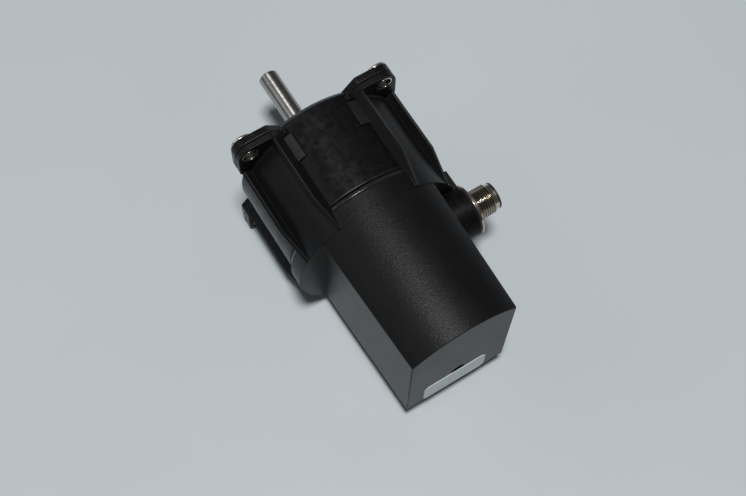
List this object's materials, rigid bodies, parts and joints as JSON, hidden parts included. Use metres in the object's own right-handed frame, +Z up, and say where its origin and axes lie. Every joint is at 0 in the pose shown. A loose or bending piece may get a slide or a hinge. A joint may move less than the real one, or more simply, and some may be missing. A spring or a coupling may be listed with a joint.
{
  "type": "rotary encoder",
  "caption": "Multiturn rotary encoder: solid shaft, square flange with metal-bushed corner lugs, black housing with bolt channels, long flat-sided hood and threaded round side connector.",
  "frame": {"origin": "on the shaft's axis, in the plane of the flange's front face", "axes": "+X out along the shaft, +Z up towards the hood's round top, the side connector points along -Y"},
  "size_m": [0.1383, 0.0812, 0.0676],
  "materials": {
    "front_moulding": "satin moulded black",
    "hood_moulding": "fine grained matte black",
    "seal_rubber": "smooth black",
    "bush_steel": "bright turned",
    "label_film": "pale silver film",
    "shaft_steel": "ground satin",
    "bearing_steel": "polished",
    "cage_brass": "pressed",
    "spring_steel": "oiled",
    "hub_brass": "turned",
    "disc_glass": "clear",
    "board_laminate": "solder mask",
    "chip_plastic": "moulded",
    "gear_plastic": "moulded",
    "pinion_brass": "cut",
    "magnet_core": "plain",
    "plate_aluminium": "brushed",
    "screw_steel": "plated",
    "connector_nickel": "nickel plated",
    "insert_plastic": "moulded",
    "contact_gold": "gold plated",
    "plug_plastic": "moulded"
  },
  "bodies": {
    "casing": {"front_housing": "front_moulding", "rear_hood": "hood_moulding", "housing_seal": "seal_rubber", "mounting_bushes": "bush_steel", "rear_label": "label_film", "shaft_seal": "seal_rubber", "bearing_carrier": "plate_aluminium", "bearing_circlip": "spring_steel", "preload_washer": "spring_steel", "front_bearing_outer": "bearing_steel", "rear_bearing_outer": "bearing_steel", "sensor_board": "board_laminate", "sensor_chip": "chip_plastic", "gear_pins": "bearing_steel", "front_gear_plate": "plate_aluminium", "rear_gear_plate": "plate_aluminium", "stack_spacers": "plate_aluminium", "stack_screws": "screw_steel", "main_board": "board_laminate", "main_board_parts": "chip_plastic", "interface_board": "board_laminate", "interface_board_parts": "chip_plastic", "board_header": "chip_plastic", "connector_shell": "connector_nickel", "connector_gasket": "seal_rubber", "connector_nut": "connector_nickel", "contact_insert": "insert_plastic", "contact_pins": "contact_gold", "connector_board": "board_laminate", "board_socket": "plug_plastic"},
    "shaft": {"encoder_shaft": "shaft_steel", "bearing_spacer": "bearing_steel", "shaft_circlips": "spring_steel", "front_bearing_inner": "bearing_steel", "rear_bearing_inner": "bearing_steel", "disc_hub": "hub_brass", "hub_screw": "spring_steel", "code_disc": "disc_glass", "drive_pinion": "pinion_brass"},
    "ball_cages": {"front_bearing_balls": "bearing_steel", "front_bearing_cage": "cage_brass", "rear_bearing_balls": "bearing_steel", "rear_bearing_cage": "cage_brass"},
    "idler": {"idler_gear": "gear_plastic"},
    "output": {"output_gear": "gear_plastic", "output_magnet": "magnet_core"}
  },
  "joints": [
    {"name": "shaft_spin", "type": "hinge", "parent": "casing", "child": "shaft", "pos_m": [0, 0, 0], "axis": [1, 0, 0], "continuous": true},
    {"name": "ball_orbit", "type": "hinge", "parent": "casing", "child": "ball_cages", "pos_m": [0, 0, 0], "axis": [1, 0, 0], "continuous": true},
    {"name": "idler_spin", "type": "hinge", "parent": "casing", "child": "idler", "pos_m": [0, 0, 0.014], "axis": [1, 0, 0], "continuous": true},
    {"name": "output_spin", "type": "hinge", "parent": "casing", "child": "output", "pos_m": [0, 0, 0], "axis": [1, 0, 0], "continuous": true}
  ],
  "couplings": [
    {"joint": "ball_orbit", "follows": "shaft_spin", "ratio": 0.39375},
    {"joint": "idler_spin", "follows": "shaft_spin", "ratio": -0.4},
    {"joint": "output_spin", "follows": "shaft_spin", "ratio": 0.16}
  ]
}
